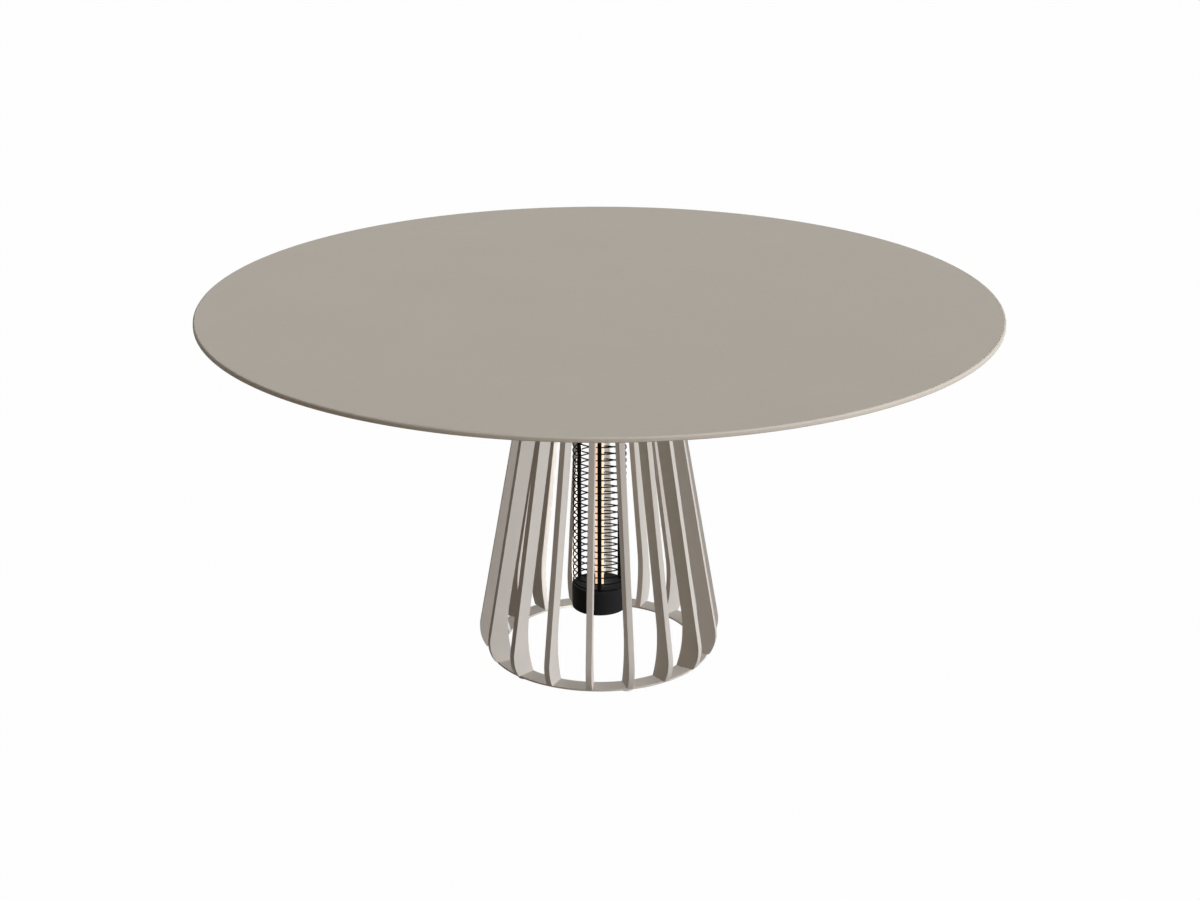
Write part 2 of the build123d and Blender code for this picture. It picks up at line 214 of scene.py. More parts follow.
def stretch(shift: Point, scale: Point, centre: Point) -> None:
    """Extrude what is selected by a shift, and scale the new end about a centre."""
    extrude(shift)
    bpy.ops.transform.resize(value=scale, center_override=centre)


def plate(centre: Point, length: float, width: float) -> Object:
    """Add a flat oblong.

    Args:
        centre: Its middle.
        length: Its size along X.
        width: Its size along Y.

    Returns:
        The oblong, open in edit mode with all of it selected.
    """
    clear_selection()
    bpy.ops.mesh.primitive_plane_add(size=1, location=centre)
    piece = bpy.context.object
    piece.scale = (length, width, 1)
    settle(piece)
    edit(piece)
    return piece


def turned(name: str, profile: Profile, segments: int, phase: float = 0.0) -> Object:
    """Turn a profile about Z, by extruding a circle from point to point.

    Args:
        name: The new piece's name.
        profile: Radius and height of each point. A profile that ends where it starts is a
            closed ring, and any other is closed by a flat face at each end.
        segments: The number of sides round the axis.
        phase: The first corner's turn.

    Returns:
        The turned piece, in object mode.
    """
    clear_selection()
    radius, height = profile[0]
    bpy.ops.mesh.primitive_circle_add(
        vertices=segments, radius=radius, location=(0, 0, height), rotation=(0, 0, phase)
    )
    piece = bpy.context.object
    piece.name = name
    settle(piece)
    is_ring = profile[0] == profile[-1]
    edit(piece)
    if not is_ring:
        bpy.ops.mesh.edge_face_add()
    for next_radius, next_height in profile[1:]:
        ratio = next_radius / radius
        stretch((0, 0, next_height - height), (ratio, ratio, 1), (0, 0, next_height))
        radius, height = next_radius, next_height
    close_edit()
    return piece


def wind(piece: Object, rise: float, turns: int, steps: int, turn: float = 2 * math.pi) -> None:
    """Wind a line or an outline up the Z axis.

    Args:
        piece: The line or outline, which becomes the winding.
        rise: The rise of one turn.
        turns: The number of turns.
        steps: The number of sides of one turn.
        turn: One whole turn, below zero for a clockwise winding.
    """
    winding = piece.modifiers.new("winding", "SCREW")
    winding.axis = "Z"
    winding.angle = turn
    winding.screw_offset = rise
    winding.iterations = turns
    winding.steps = steps
    winding.render_steps = steps
    finish_modifier(piece, winding)


def wound(name: str, profile: Profile, pitch: float, span: Range, steps: int) -> Object:
    """Wind a profile up the Z axis like a thread, cut off flat at two heights.

    Args:
        name: The new piece's name.
        profile: Radius and rise of the points of one turn, over one pitch.
        pitch: The rise of one turn.
        span: The heights of the two ends.
        steps: The number of sides round the axis.

    Returns:
        The wound piece, closed at both ends, in object mode.
    """
    low, high = span
    clear_selection()
    bpy.ops.mesh.primitive_circle_add(vertices=len(profile), radius=pitch)
    piece = bpy.context.object
    piece.name = name
    edit(piece)
    start = low - SPARE_TURNS * pitch
    open_profile(piece, [(radius, start + rise) for radius, rise in profile])
    bpy.ops.object.mode_set(mode="OBJECT")
    wind(piece, pitch, math.ceil((high - low) / pitch) + 2 * SPARE_TURNS, steps)
    edit(piece)
    bpy.ops.mesh.remove_doubles(threshold=MERGE_DISTANCE)
    bpy.ops.mesh.bisect(
        plane_co=(0, 0, low), plane_no=(0, 0, 1), use_fill=True, clear_inner=True
    )
    bpy.ops.mesh.select_all(action="SELECT")
    bpy.ops.mesh.bisect(
        plane_co=(0, 0, high), plane_no=(0, 0, 1), use_fill=True, clear_outer=True
    )
    close_edit()
    return piece


def open_profile(piece: Object, places: Profile) -> None:
    """Shape a closed line, and open it between its last point and its first.

    Args:
        piece: The line, open in edit mode.
        places: Radius and height of each point.
    """
    shape = bmesh.from_edit_mesh(piece.data)
    shape.verts.ensure_lookup_table()
    for vertex, (radius, height) in zip(shape.verts, places):
        vertex.co = (radius, 0, height)
    ends = {shape.verts[0], shape.verts[-1]}
    bpy.ops.mesh.select_mode(type=Pick.EDGE.value)
    bpy.ops.mesh.select_all(action="DESELECT")
    for line in shape.edges:
        line.select_set(set(line.verts) == ends)
    bmesh.update_edit_mesh(piece.data)
    bpy.ops.mesh.delete(type="EDGE")


def finish_modifier(piece: Object, modifier: Modifier) -> None:
    """Apply a modifier to its piece."""
    take(piece)
    bpy.ops.object.modifier_apply(modifier=modifier.name)


def soften(piece: Object, width: float, segments: int = 2, angle: float = 30.0) -> None:
    """Round every edge that is sharper than an angle.

    Args:
        piece: The piece to round.
        width: How far the rounding reaches from the edge.
        segments: The faces across the rounding.
        angle: The least angle, in degrees, that counts as an edge.
    """
    bevel = piece.modifiers.new("soften", "BEVEL")
    bevel.width = width
    bevel.segments = segments
    bevel.limit_method = "ANGLE"
    bevel.angle_limit = math.radians(angle)
    finish_modifier(piece, bevel)


def round_circle(piece: Object, radius: float, level: float, width: float, segments: int) -> None:
    """Round the one circular edge that lies at a radius and a level.

    Args:
        piece: The turned piece that has the edge.
        radius: The edge's distance from the axis.
        level: The edge's height.
        width: How far the rounding reaches from the edge.
        segments: The faces across the rounding.
    """
    def on_edge(point: Vector) -> bool:
        """Whether a point lies on the edge."""
        is_level = abs(point.z - level) < MERGE_DISTANCE
        return is_level and abs(point.xy.length - radius) < PICK_DISTANCE

    edit(piece)
    pick(piece, Pick.EDGE, on_edge)
    bpy.ops.mesh.bevel(offset=width, segments=segments, profile=0.5, affect="EDGES")
    close_edit()


def bore(piece: Object, *cutters: Object) -> None:
    """Cut other shapes out of a piece and delete them.

    Args:
        piece: The piece to cut.
        cutters: The shapes to cut out of it, in order.
    """
    for cutter in cutters:
        cut = piece.modifiers.new("bore", "BOOLEAN")
        cut.operation = "DIFFERENCE"
        cut.solver = "EXACT"
        cut.object = cutter
        finish_modifier(piece, cut)
        discard(cutter)


def pin(radius: float, centre: Point, low: float, high: float, segments: int = 32) -> Object:
    """Make an upright round cutter between two heights.

    Args:
        radius: Half its thickness.
        centre: A point on its axis.
        low: The height of its lower end.
        high: The height of its upper end.
        segments: The number of its sides.

    Returns:
        The cutter.
    """
    cutter = turned("cutter", [(radius, low), (radius, high)], segments)
    cutter.location = (centre[0], centre[1], 0)
    settle(cutter)
    return cutter


def shade(piece: Object, angle: float = 35.0) -> None:
    """Shade a piece smooth up to an angle, with its flat faces kept flat.

    Args:
        piece: The piece to shade.
        angle: The least angle, in degrees, that still shows as an edge.
    """
    take(piece)
    bpy.ops.object.shade_smooth_by_angle(angle=math.radians(angle))
    weighting = piece.modifiers.new("weighting", "WEIGHTED_NORMAL")
    weighting.keep_sharp = True
    finish_modifier(piece, weighting)


def copy_turned(piece: Object, name: str, turn: float) -> Object:
    """Copy a piece, with a mesh of its own, and turn the copy about Z.

    Args:
        piece: The piece to copy.
        name: The copy's name.
        turn: The copy's turn.

    Returns:
        The copy.
    """
    take(piece)
    bpy.ops.object.duplicate(linked=False)
    copy = bpy.context.object
    copy.name = name
    copy.data.name = name
    copy.rotation_euler = (0, 0, turn)
    settle(copy)
    return copy


def joined(pieces: Sequence[Object], name: str) -> Object:
    """Join several pieces into one.

    Args:
        pieces: The pieces, the first of which takes up the others.
        name: The name of the whole.

    Returns:
        The whole.
    """
    clear_selection()
    for piece in pieces:
        piece.select_set(True)
    bpy.context.view_layer.objects.active = pieces[0]
    bpy.ops.object.join()
    whole = bpy.context.object
    whole.name = name
    whole.data.name = name
    return whole


def circle_of(piece: Object, name: str, count: int, phase: float = 0.0) -> Object:
    """Set copies of a piece evenly round the axis, as one piece.

    Args:
        piece: The piece that is copied, out along +X. It is deleted.
        name: The name of the whole.
        count: The number of copies.
        phase: The first copy's angle.

    Returns:
        The whole.
    """
    copies = [copy_turned(piece, name, heading(angle)) for angle in around(count, phase)]
    discard(piece)
    return joined(copies, name)


class Wiring:
    """A node tree, with short calls that add and join nodes."""

    def __init__(self, tree: NodeTree) -> None:
        """Take over a node tree and empty it."""
        self.tree = tree
        self.tree.nodes.clear()

    @staticmethod
    def fill(node: Node, **values: Value) -> None:
        """Set a node's inputs by their names, with spaces written as underscores."""
        for name, value in values.items():
            node.inputs[name.replace("_", " ")].default_value = value

    def add(self, kind: str, **values: Value) -> Node:
        """Add a node.

        Args:
            kind: The node's type.
            values: Its inputs, as for fill.

        Returns:
            The node.
        """
        node = self.tree.nodes.new(kind)
        self.fill(node, **values)
        return node

    def join(self, start: NodeSocket, end: NodeSocket) -> None:
        """Link two sockets."""
        self.tree.links.new(start, end)

    def between(
        self, number: NodeSocket, source: Range, target: Range, blend: Blend = Blend.EVEN
    ) -> NodeSocket:
        """Spread one range of a number over another.

        Args:
            number: The number.
            source: The range that it is taken from.
            target: The range that it is brought to.
            blend: How it changes on the way.

        Returns:
            The new number.
        """
        node = self.add("ShaderNodeMapRange", From_Min=source[0], From_Max=source[1])
        self.fill(node, To_Min=target[0], To_Max=target[1])
        node.interpolation_type = blend.value
        self.join(number, node.inputs["Value"])
        return node.outputs["Result"]

    def seen(self) -> NodeSocket:
        """Make a switch that is on for what the camera sees, straight or in gloss and glass.

        Returns:
            The switch.
        """
        path = self.add("ShaderNodeLightPath")
        total = path.outputs["Is Camera Ray"]
        for name in ("Is Glossy Ray", "Is Transmission Ray"):
            either = self.add("ShaderNodeMath")
            either.operation = "MAXIMUM"
            self.join(total, either.inputs[0])
            self.join(path.outputs[name], either.inputs[1])
            total = either.outputs[0]
        return total

    def choose(self, switch: NodeSocket, off: NodeSocket, on: NodeSocket) -> NodeSocket:
        """Change from one shader to another.

        Args:
            switch: How far the change has gone, from 0 to 1.
            off: The shader at 0.
            on: The shader at 1.

        Returns:
            The mixed shader.
        """
        node = self.add("ShaderNodeMixShader")
        self.join(switch, node.inputs["Fac"])
        self.join(off, node.inputs[1])
        self.join(on, node.inputs[2])
        return node.outputs[0]


class Recipe(Wiring):
    """The nodes of one material, with patterns that lie still on the piece."""

    def __init__(self, name: str) -> None:
        """Start a material with a shader and an output.

        Args:
            name: The material's name.
        """
        self.material = bpy.data.materials.new(name)
        self.material.use_nodes = True
        super().__init__(self.material.node_tree)
        self.output = self.add("ShaderNodeOutputMaterial")
        self.shader = self.add("ShaderNodeBsdfPrincipled")
        self.join(self.shader.outputs["BSDF"], self.output.inputs["Surface"])
        self.place = self.add("ShaderNodeTexCoord").outputs["Object"]

    def noise(self, scale: float, detail: float) -> NodeSocket:
        """Add a soft cloud pattern.

        Args:
            scale: The number of lumps to the metre.
            detail: The number of finer patterns laid over the first.

        Returns:
            The pattern.
        """
        node = self.add("ShaderNodeTexNoise", Scale=scale, Detail=detail)
        self.join(self.place, node.inputs["Vector"])
        return node.outputs["Fac"]

    def cells(self, scale: float) -> NodeSocket:
        """Add a pattern of small rounded cells.

        Args:
            scale: The number of cells to the metre.

        Returns:
            The pattern.
        """
        node = self.add("ShaderNodeTexVoronoi", Scale=scale)
        node.feature = "SMOOTH_F1"
        self.join(self.place, node.inputs["Vector"])
        return node.outputs["Distance"]

    def tint(self, pattern: NodeSocket, dark: Colour, light: Colour) -> NodeSocket:
        """Turn a pattern's middle range into a colour.

        Args:
            pattern: The pattern.
            dark: The colour where it is low.
            light: The colour where it is high.

        Returns:
            The colour.
        """
        node = self.add("ShaderNodeValToRGB")
        first, last = node.color_ramp.elements
        first.position, last.position = PATTERN_MIDDLE
        first.color, last.color = (*dark, 1), (*light, 1)
        self.join(pattern, node.inputs["Fac"])
        return node.outputs["Color"]

    def roughen(self, pattern: NodeSocket, roughness: Range) -> None:
        """Let the roughness follow a pattern's middle range."""
        value = self.between(pattern, PATTERN_MIDDLE, roughness)
        self.join(value, self.shader.inputs["Roughness"])

    def relief(self, pattern: NodeSocket, depth: float, strength: float) -> None:
        """Let a pattern stand out of the surface.

        Args:
            pattern: The pattern.
            depth: How far it stands out.
            strength: The share of the relief that shows.
        """
        node = self.add("ShaderNodeBump", Strength=strength, Distance=depth)
        self.join(pattern, node.inputs["Height"])
        self.join(node.outputs["Normal"], self.shader.inputs["Normal"])


def shaded(colour: Colour, change: float) -> Colour:
    """A colour made lighter or darker by a share."""
    return tuple(value * (1 + change) for value in colour)


@dataclass(frozen=True)
class Coat:
    """An opaque finish with a fine relief: powder coat, laminate, lacquer or moulded plastic."""

    name: str
    colour: Colour
    drift: float = 0.03
    patch: float = 7.0
    patch_detail: float = 4.0
    grain: float = 1400.0
    depth: float = 0.00005
    strength: float = 0.25
    roughness: Range = (0.6, 0.72)
    gloss_grains: float = 6.0
    gloss_detail: float = 3.0
    specular: float = 0.2
    metallic: float = 0.0

    def material(self) -> Material:
        """Make the finish's material.

        Returns:
            The material.
        """
        recipe = Recipe(self.name)
        shader = recipe.shader
        recipe.fill(shader, Metallic=self.metallic, Specular_IOR_Level=self.specular)
        dark, light = shaded(self.colour, -self.drift), shaded(self.colour, self.drift)
        colour = recipe.tint(recipe.noise(self.patch, self.patch_detail), dark, light)
        recipe.join(colour, shader.inputs["Base Color"])
        gloss = recipe.noise(self.grain / self.gloss_grains, self.gloss_detail)
        recipe.roughen(gloss, self.roughness)
        recipe.relief(recipe.cells(self.grain), self.depth, self.strength)
        return recipe.material


@dataclass(frozen=True)
class LampGlass:
    """The clear tube of the lamp, with faint streaks of haze."""

    name: str = "lamp_glass_clear"
    colour: Colour = (1.0, 0.975, 0.94)
    refraction: float = 1.46
    streak: float = 60.0
    streak_detail: float = 2.0
    roughness: Range = (0.01, 0.05)

    def material(self) -> Material:
        """Make the finish's material.

        Returns:
            The material.
        """
        recipe = Recipe(self.name)
        recipe.fill(recipe.shader, Base_Color=(*self.colour, 1), IOR=self.refraction)
        recipe.fill(recipe.shader, Transmission_Weight=1.0)
        recipe.roughen(recipe.noise(self.streak, self.streak_detail), self.roughness)
        return recipe.material


@dataclass(frozen=True)
class Glow:
    """The lamp's glowing element, a little uneven along its length."""

    name: str = "element_glow"
    bright: Colour = (1.0, 0.67, 0.47)
    dim: Colour = (1.0, 0.60, 0.38)
    body: Colour = (0.25, 0.12, 0.06)
    roughness: float = 0.7
    strength: float = 0.95
    patch: float = 90.0
    patch_detail: float = 1.0

    def material(self) -> Material:
        """Make the finish's material.

        Returns:
            The material.
        """
        recipe = Recipe(self.name)
        shader = recipe.shader
        recipe.fill(shader, Base_Color=(*self.body, 1), Roughness=self.roughness)
        recipe.fill(shader, Emission_Strength=self.strength)
        pattern = recipe.noise(self.patch, self.patch_detail)
        recipe.join(recipe.tint(pattern, self.dim, self.bright), shader.inputs["Emission Color"])
        return recipe.material


class Finishes:
    """Every finish of the table, made once."""

    def __init__(self) -> None:
        """Make the materials."""
        taupe = (0.40, 0.372, 0.332)
        self.laminate = Coat(
            "top_laminate", (0.401, 0.364, 0.307),
            drift=0.012, patch=5.0, grain=900.0, strength=0.15,
        ).material()
        self.plate_coat = Coat("plate_powder_coat", taupe).material()
        self.fin_coat = Coat("fin_powder_coat", taupe, patch=9.0).material()
        self.black_coat = Coat(
            "casting_black", (0.0145, 0.0145, 0.015),
            drift=0.1, roughness=(0.5, 0.6), specular=0.01,
        ).material()
        self.guard_black = Coat(
            "guard_black", (0.004, 0.0036, 0.0036),
            drift=0.1, grain=2200.0, roughness=(0.55, 0.65), specular=0.01,
        ).material()
        self.black_plastic = Coat(
            "gland_plastic", (0.030, 0.030, 0.030),
            drift=0.08, grain=1800.0, roughness=(0.35, 0.5),
        ).material()
        self.glide_plastic = Coat(
            "glide_plastic", (0.58, 0.57, 0.54),
            drift=0.02, grain=1600.0, roughness=(0.4, 0.55),
        ).material()
        self.ceramic = Coat(
            "holder_ceramic", (0.82, 0.80, 0.76), patch=120.0, roughness=(0.6, 0.8)
        ).material()
        self.zinc = Coat(
            "zinc_plate", (0.62, 0.62, 0.61),
            drift=0.06, patch=160.0, grain=2600.0, roughness=(0.28, 0.42), metallic=1.0,
        ).material()
        self.lamp_glass = LampGlass().material()
        self.glow = Glow().material()


def dress(piece: Object, material: Material, body: str, slot: str, *nodes: str) -> None:
    """Give a piece its finish and its place in the model.

    Args:
        piece: The finished piece.
        material: The finish that it wears.
        body: The body that it moves with.
        slot: A material slot's name; not used.
        nodes: The CAD nodes that it stands for.
    """
    piece.data.materials.clear()
    piece.data.materials.append(material)
    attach(piece, body)
    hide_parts(*nodes)
    LOG.info("%s on %s: %d faces", piece.name, body, len(piece.data.polygons))


@dataclass
class ButtonScrew:
    """A screw driven upwards, with a domed head below and a hexagon socket in it.

    The dome runs from the head's middle to its seat, in shares of its radius and height, and
    the tip is eased by a share of the shank's radius.
    """

    shank: float
    head: float
    head_height: float
    seat: float
    tip: float
    socket: float
    socket_depth: float
    dome: Profile = (
        (0.55, 0.0), (0.76, 0.14), (0.91, 0.36), (1.0, 0.68), (1.0, 0.92), (0.96, 1.0),
    )
    tip_easing: float = 0.2
    segments: int = 40

    def build(self, radius: float) -> Object:
        """Model the screw along Z at a distance out along +X.

        Args:
            radius: The distance from the table's axis.

        Returns:
            The screw.
        """
        rim, low = self.head / 2, self.seat - self.head_height
        profile = [(rim * across, low + self.head_height * up) for across, up in self.dome]
        thread = self.shank / 2
        end = thread * self.tip_easing
        profile += [(thread, self.seat), (thread, self.tip - end), (thread - end, self.tip)]
        screw = turned("screw", profile, self.segments)
        corner = self.socket / math.sqrt(3)
        ends = [(corner, low - CUT_MARGIN), (corner, low + self.socket_depth)]
        bore(screw, turned("socket", ends, 6))
        screw.location = (radius, 0, 0)
        settle(screw)
        shade(screw)
        return screw

    def ring(self, name: str, radius: float, count: int, phase: float) -> Object:
        """A circle of screws as one piece."""
        return circle_of(self.build(radius), name, count, phase)


@dataclass
class Tabletop:
    """The round top: a thin disc, rounded above and eased below."""

    radius: float = 0.800
    height: float = 0.750
    upper_rounding: float = 0.004
    upper_steps: int = 8
    lower_rounding: float = 0.0025
    lower_steps: int = 5
    flat_border: float = 0.030
    segments: int = 480

    def build(self, finishes: Finishes) -> None:
        """Model the top and dress it.

        Args:
            finishes: The table's finishes.
        """
        edge = [(self.radius, TOP_UNDERSIDE), (self.radius, self.height)]
        top = turned("dining_top", edge, self.segments)
        round_circle(top, self.radius, self.height, self.upper_rounding, self.upper_steps)
        round_circle(top, self.radius, TOP_UNDERSIDE, self.lower_rounding, self.lower_steps)
        self.add_border(top, self.height)
        self.add_border(top, TOP_UNDERSIDE)
        shade(top)
        dress(top, finishes.laminate, TABLE, "tabletop", "tabletop")

    def add_border(self, top: Object, level: float) -> None:
        """Add a flat border inside the rim, which keeps the wide face's shading flat.

        Args:
            top: The tabletop.
            level: The height of the face.
        """
        edit(top)
        pick(top, Pick.FACE, lambda point: abs(point.z - level) < MERGE_DISTANCE)
        bpy.ops.mesh.inset(thickness=self.flat_border)
        close_edit()


@dataclass
class UnderFrame:
    """The hub plate, the flat arms welded round it, and the screws that hold the top."""

    hub_radius: float = 0.172
    hub_segments: int = 192
    arm_count: int = 6
    arm_phase: float = 5.0
    arm_reach: float = 0.560
    root_width: float = 0.070
    tip_width: float = 0.044
    tip_rounding: float = 0.011
    tip_steps: int = 8
    weld_gap: float = 0.0002
    eased_edge: float = 0.0008
    screw_inset: float = 0.025
    screw_hole: float = 0.0034
    screw_bite: float = 0.007

    def build(self, finishes: Finishes) -> None:
        """Model the plate, the arms and the screws, and dress them.

        Args:
            finishes: The table's finishes.
        """
        edge = [(self.hub_radius, HUB_UNDERSIDE), (self.hub_radius, TOP_UNDERSIDE)]
        hub = turned("hub_disc", edge, self.hub_segments)
        soften(hub, self.eased_edge)
        shade(hub)
        dress(hub, finishes.plate_coat, TABLE, "taupe_steel", "hub_plate")
        arm = self.arm()
        for number, angle in enumerate(around(self.arm_count, self.arm_phase), start=1):
            copy = copy_turned(arm, f"arm_bar_{number}", heading(angle))
            dress(copy, finishes.fin_coat, TABLE, "taupe_aluminium", f"support_arm_{number}")
        discard(arm)
        screw = ButtonScrew(
            shank=0.006, head=0.012, head_height=0.0035, socket=0.004, socket_depth=0.002,
            seat=HUB_UNDERSIDE, tip=TOP_UNDERSIDE + self.screw_bite,
        )
        screws = screw.ring("arm_screw_set", self.screw_circle(), self.arm_count, self.arm_phase)
        dress(screws, finishes.zinc, TABLE, "plain_steel", "top_screws")

    def screw_circle(self) -> float:
        """The distance of the screws from the table's axis."""
        return self.arm_reach - self.screw_inset

    def arm(self) -> Object:
        """Model a flat bar along +X that narrows to a rounded tip, hollowed to fit the hub.

        Returns:
            The arm.
        """
        bar = plate((self.arm_reach / 2, 0, HUB_UNDERSIDE), self.arm_reach, self.root_width)
        pick(bar, Pick.VERTEX, lambda point: point.x > self.arm_reach / 2)
        narrowing = (1, self.tip_width / self.root_width, 1)
        tip = (self.arm_reach, 0, HUB_UNDERSIDE)
        bpy.ops.transform.resize(value=narrowing, center_override=tip)
        bpy.ops.mesh.bevel(offset=self.tip_rounding, segments=self.tip_steps, affect="VERTICES")
        bpy.ops.mesh.select_all(action="SELECT")
        thickness = TOP_UNDERSIDE - HUB_UNDERSIDE
        extrude((0, 0, thickness))
        close_edit()
        low, high = HUB_UNDERSIDE - thickness, TOP_UNDERSIDE + thickness
        bore(bar, pin(self.hub_radius + self.weld_gap, (0, 0, 0), low, high, self.hub_segments))
        soften(bar, self.eased_edge)
        bore(bar, pin(self.screw_hole, (self.screw_circle(), 0, 0), low, high))
        shade(bar)
        return bar


@dataclass(frozen=True)
class FinEdge:
    """One long edge of a fin: straight and leaning above, then an arc in to the foot."""

    top_radius: float
    bend_height: float
    foot_radius: float
    lean: float = math.radians(10.08)

    def radius(self, height: float) -> float:
        """Find the edge's distance from the table's axis.

        Args:
            height: The height at which it is wanted.

        Returns:
            The distance.
        """
        if height >= self.bend_height:
            return self.top_radius + (HUB_UNDERSIDE - height) * math.tan(self.lean)
        bend_radius = self.radius(self.bend_height)
        inwards = Vector((-math.cos(self.lean), -math.sin(self.lean)))
        chord = Vector((self.foot_radius - bend_radius, RING_TOP - self.bend_height))
        arc = chord.length_squared / (2 * inwards.dot(chord))
        centre = Vector((bend_radius, self.bend_height)) + inwards * arc
        return centre.x + math.sqrt(arc**2 - (height - centre.y) ** 2)


@dataclass
class FinPedestal:
    """The eighteen fins, cut from flat bar."""

    outer: FinEdge = FinEdge(top_radius=0.1308, bend_height=0.067, foot_radius=0.237)
    inner: FinEdge = FinEdge(top_radius=0.09982, bend_height=0.135, foot_radius=0.1965)
    thickness: float = 0.012
    eased_edge: float = 0.0007
    foot_steps: int = 14
    bend_steps: int = 8
    stem_hole: float = 0.00305
    stem_hole_top: float = 0.044

    def build(self, finishes: Finishes) -> None:
        """Model one fin with and one without a foot's hole, and dress the copies.

        Args:
            finishes: The table's finishes.
        """
        plain, footed = self.fin(), self.fin()
        bore(footed, pin(self.stem_hole, (FOOT_CIRCLE, 0, 0), RING_UNDERSIDE, self.stem_hole_top))
        shade(plain)
        shade(footed)
        for index, angle in enumerate(around(FIN_COUNT, FIN_PHASE)):
            name = f"{index + 1:02d}"
            source = footed if index in FOOTED_FINS else plain
            copy = copy_turned(source, f"pedestal_fin_{name}", heading(angle))
            dress(copy, finishes.fin_coat, TABLE, "taupe_aluminium", f"fin_{name}")
        discard(plain, footed)

    def heights(self) -> list[float]:
        """List the heights at which the fin's section changes.

        Returns:
            The heights, from the foot up.
        """
        def steps(low: float, high: float, count: int) -> list[float]:
            """Evenly spaced heights from one up to, but without, another."""
            return [low + (high - low) * step / count for step in range(count)]

        outer, inner = self.outer.bend_height, self.inner.bend_height
        foot = steps(RING_TOP, outer, self.foot_steps)
        bend = steps(outer, inner, self.bend_steps)
        return foot + bend + [inner, HUB_UNDERSIDE]

    def fin(self) -> Object:
        """Model a fin out along +X, extruded upwards from its foot.

        Returns:
            The fin.
        """
        level, *levels = self.heights()
        inside, outside = self.inner.radius(level), self.outer.radius(level)
        middle, width = (inside + outside) / 2, outside - inside
        fin = plate((middle, 0, level), width, self.thickness)
        for height in levels:
            inside, outside = self.inner.radius(height), self.outer.radius(height)
            shift = ((inside + outside) / 2 - middle, 0, height - level)
            ratio = (outside - inside) / width
            middle, width, level = (inside + outside) / 2, outside - inside, height
            stretch(shift, (ratio, 1, 1), (middle, 0, level))
        close_edit()
        soften(fin, self.eased_edge)
        return fin


@dataclass
class FloorRing:
    """The flat ring that the fins stand on, pierced for the feet's stems."""

    outer: float = 0.233
    inner: float = 0.196
    eased_edge: float = 0.0006
    hole: float = 0.0034
    segments: int = 240

    def build(self, finishes: Finishes) -> None:
        """Model the ring and dress it.

        Args:
            finishes: The table's finishes.
        """
        low, high = RING_UNDERSIDE, RING_TOP
        corners = [(self.outer, low), (self.outer, high), (self.inner, high), (self.inner, low)]
        ring = turned("floor_ring", corners + corners[:1], self.segments)
        soften(ring, self.eased_edge)
        angles = around(FIN_COUNT, FIN_PHASE)
        for index in FOOTED_FINS:
            centre = spread(FOOT_CIRCLE, angles[index], 0)
            bore(ring, pin(self.hole, centre, low - CUT_MARGIN, high + CUT_MARGIN))
        shade(ring)
        dress(ring, finishes.plate_coat, TABLE, "taupe_steel", "base_ring")


@dataclass
class Feet:
    """The levelling feet: moulded glides on threaded stems, one under every third fin.

    The sole's rounding is given point by point, as how far each lies in from the glide's edge
    and up from the floor.
    """

    pad_radius: float = 0.015
    pad_seat: float = 0.002
    pad_easing: float = 0.0006
    pad_segments: int = 64
    sole: Profile = ((0.0012, 0.0), (0.0005, 0.0002), (0.0001, 0.0006), (0.0, 0.0012))
    socket_clearance: float = 0.00005
    stem_radius: float = 0.003
    stem_top: float = 0.043
    thread_pitch: float = 0.001
    thread_depth: float = 0.0005
    thread_steps: int = 24
    thread_smoothing: float = 50.0

    def build(self, finishes: Finishes) -> None:
        """Model one glide and one stem, and dress their copies.

        Args:
            finishes: The table's finishes.
        """
        glide, stem = self.glide(), self.stem()
        angles = around(FIN_COUNT, FIN_PHASE)
        for number, index in enumerate(FOOTED_FINS, start=1):
            turn = heading(angles[index])
            body = f"foot_{number}"
            pad = copy_turned(glide, f"glide_{number}", turn)
            dress(pad, finishes.glide_plastic, body, "pale_glide", f"foot_pad_{number}")
            screw = copy_turned(stem, f"levelling_stem_{number}", turn)
            dress(screw, finishes.zinc, body, "plain_steel", f"foot_stem_{number}")
        discard(glide, stem)

    def glide(self) -> Object:
        """Model a round glide with a rounded sole and a socket for its stem.

        Returns:
            The glide.
        """
        edge, top = self.pad_radius, RING_UNDERSIDE
        socket = self.stem_radius + self.socket_clearance
        profile = [(edge - inwards, up) for inwards, up in self.sole]
        profile += [(edge, top - self.pad_easing), (edge - self.pad_easing, top)]
        profile += [(socket, top), (socket, self.pad_seat)]
        pad = turned("glide", profile, self.pad_segments)
        pad.location = (FOOT_CIRCLE, 0, 0)
        settle(pad)
        shade(pad)
        return pad

    def stem(self) -> Object:
        """Model a stem with a wound thread.

        Returns:
            The stem.
        """
        root, pitch = self.stem_radius - self.thread_depth, self.thread_pitch
        notch = [(root, 0), (self.stem_radius, pitch / 2), (root, pitch)]
        stem = wound("stem", notch, pitch, (self.pad_seat, self.stem_top), self.thread_steps)
        stem.location = (FOOT_CIRCLE, 0, 0)
        settle(stem)
        shade(stem, self.thread_smoothing)
        return stem


